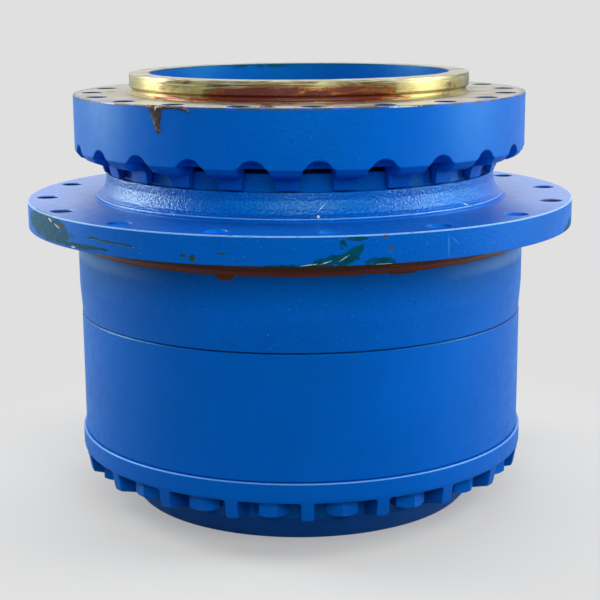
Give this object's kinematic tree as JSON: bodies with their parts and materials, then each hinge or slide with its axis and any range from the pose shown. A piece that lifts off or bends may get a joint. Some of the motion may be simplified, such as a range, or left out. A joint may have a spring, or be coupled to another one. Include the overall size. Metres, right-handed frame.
{
  "type": "excavator final drive",
  "caption": "Excavator travel final drive: fixed spindle with frame flange, turning hub with sprocket flange, ring gear and bolted end cover around a planetary train.",
  "frame": {"origin": "centre of the flat face of the end cover that the drive stands on", "axes": "+Z along the drive's axis, from the cover up to the frame spigot; -Y is the front of the picture"},
  "size_m": [0.5637, 0.5638, 0.4432],
  "materials": {
    "spindle_paint": "blue enamel over casting, machined top left bare",
    "hub_paint": "blue enamel over casting, scuffed",
    "ring_paint": "blue enamel over machined steel",
    "cover_paint": "blue enamel over casting",
    "bolt_paint": "blue enamel over steel",
    "seal_rubber": "matt black",
    "seal_iron": "lapped",
    "bronze": "turned bronze",
    "bearing_steel": "ground",
    "carrier_iron": "machined casting",
    "ground_steel": "ground",
    "plug_steel": "zinc plated",
    "gear_steel": "case hardened, oiled"
  },
  "bodies": {
    "spindle_side": {"spindle": "spindle_paint", "stage_2_carrier": "carrier_iron", "stage_2_planet_pins": "ground_steel", "stage_2_thrust_washers": "bronze", "bearing_nut": "ground_steel", "upper_bearing_inner_race": "bearing_steel", "lower_bearing_inner_race": "bearing_steel", "fixed_seal_ring": "seal_iron", "fixed_toric_ring": "seal_rubber", "input_shaft_seal": "seal_rubber"},
    "drum_side": {"rotating_hub": "hub_paint", "ring_gear": "ring_paint", "cover": "cover_paint", "cover_bolts": "bolt_paint", "cover_bolt_washers": "bolt_paint", "dowel_pins": "ground_steel", "cover_plugs": "plug_steel", "cover_thrust_pad": "bronze", "hub_o_ring": "seal_rubber", "cover_o_ring": "seal_rubber", "upper_bearing_outer_race": "bearing_steel", "lower_bearing_outer_race": "bearing_steel", "rotating_seal_ring": "seal_iron", "rotating_toric_ring": "seal_rubber"},
    "first_carrier": {"stage_1_carrier": "carrier_iron", "stage_1_planet_pins": "ground_steel", "stage_1_thrust_washers": "bronze", "stage_2_sun": "gear_steel"},
    "input_shaft": {"stage_1_sun_shaft": "gear_steel", "shaft_coupling": "gear_steel"},
    "upper_rollers": {"upper_bearing_rollers": "bearing_steel", "upper_bearing_cage": "bronze"},
    "lower_rollers": {"lower_bearing_rollers": "bearing_steel", "lower_bearing_cage": "bronze"},
    "second_planet_1": {"stage_2_planet_1": "gear_steel", "stage_2_planet_bush_1": "bronze"},
    "second_planet_2": {"stage_2_planet_2": "gear_steel", "stage_2_planet_bush_2": "bronze"},
    "second_planet_3": {"stage_2_planet_3": "gear_steel", "stage_2_planet_bush_3": "bronze"},
    "second_planet_4": {"stage_2_planet_4": "gear_steel", "stage_2_planet_bush_4": "bronze"},
    "first_planet_1": {"stage_1_planet_1": "gear_steel", "stage_1_planet_bush_1": "bronze"},
    "first_planet_2": {"stage_1_planet_2": "gear_steel", "stage_1_planet_bush_2": "bronze"},
    "first_planet_3": {"stage_1_planet_3": "gear_steel", "stage_1_planet_bush_3": "bronze"}
  },
  "joints": [
    {"name": "drum_spin", "type": "hinge", "parent": "spindle_side", "child": "drum_side", "pos_m": [0, 0, 0.26], "axis": [0, 0, 1], "continuous": true},
    {"name": "first_carrier_spin", "type": "hinge", "parent": "spindle_side", "child": "first_carrier", "pos_m": [0, 0, 0.12], "axis": [0, 0, 1], "continuous": true},
    {"name": "input_shaft_spin", "type": "hinge", "parent": "spindle_side", "child": "input_shaft", "pos_m": [0, 0, 0.2], "axis": [0, 0, 1], "continuous": true},
    {"name": "upper_rollers_spin", "type": "hinge", "parent": "spindle_side", "child": "upper_rollers", "pos_m": [0, 0, 0.309], "axis": [0, 0, 1], "continuous": true},
    {"name": "lower_rollers_spin", "type": "hinge", "parent": "spindle_side", "child": "lower_rollers", "pos_m": [0, 0, 0.245], "axis": [0, 0, 1], "continuous": true},
    {"name": "second_planet_1_spin", "type": "hinge", "parent": "spindle_side", "child": "second_planet_1", "pos_m": [0, -0.114, 0.16], "axis": [0, 0, 1], "continuous": true},
    {"name": "second_planet_2_spin", "type": "hinge", "parent": "spindle_side", "child": "second_planet_2", "pos_m": [0.114, 0, 0.16], "axis": [0, 0, 1], "continuous": true},
    {"name": "second_planet_3_spin", "type": "hinge", "parent": "spindle_side", "child": "second_planet_3", "pos_m": [0, 0.114, 0.16], "axis": [0, 0, 1], "continuous": true},
    {"name": "second_planet_4_spin", "type": "hinge", "parent": "spindle_side", "child": "second_planet_4", "pos_m": [-0.114, 0, 0.16], "axis": [0, 0, 1], "continuous": true},
    {"name": "first_planet_1_spin", "type": "hinge", "parent": "first_carrier", "child": "first_planet_1", "pos_m": [0, -0.108, 0.1], "axis": [0, 0, 1], "continuous": true},
    {"name": "first_planet_2_spin", "type": "hinge", "parent": "first_carrier", "child": "first_planet_2", "pos_m": [0.09353, 0.054, 0.1], "axis": [0, 0, 1], "continuous": true},
    {"name": "first_planet_3_spin", "type": "hinge", "parent": "first_carrier", "child": "first_planet_3", "pos_m": [-0.09353, 0.054, 0.1], "axis": [0, 0, 1], "continuous": true}
  ],
  "couplings": [
    {"joint": "first_carrier_spin", "follows": "drum_spin", "ratio": -3.75},
    {"joint": "input_shaft_spin", "follows": "drum_spin", "ratio": -27.5},
    {"joint": "upper_rollers_spin", "follows": "drum_spin", "ratio": 0.52886},
    {"joint": "lower_rollers_spin", "follows": "drum_spin", "ratio": 0.52886},
    {"joint": "second_planet_1_spin", "follows": "drum_spin", "ratio": 2.7273},
    {"joint": "second_planet_2_spin", "follows": "drum_spin", "ratio": 2.7273},
    {"joint": "second_planet_3_spin", "follows": "drum_spin", "ratio": 2.7273},
    {"joint": "second_planet_4_spin", "follows": "drum_spin", "ratio": 2.7273},
    {"joint": "first_planet_1_spin", "follows": "drum_spin", "ratio": 11.875},
    {"joint": "first_planet_2_spin", "follows": "drum_spin", "ratio": 11.875},
    {"joint": "first_planet_3_spin", "follows": "drum_spin", "ratio": 11.875}
  ]
}
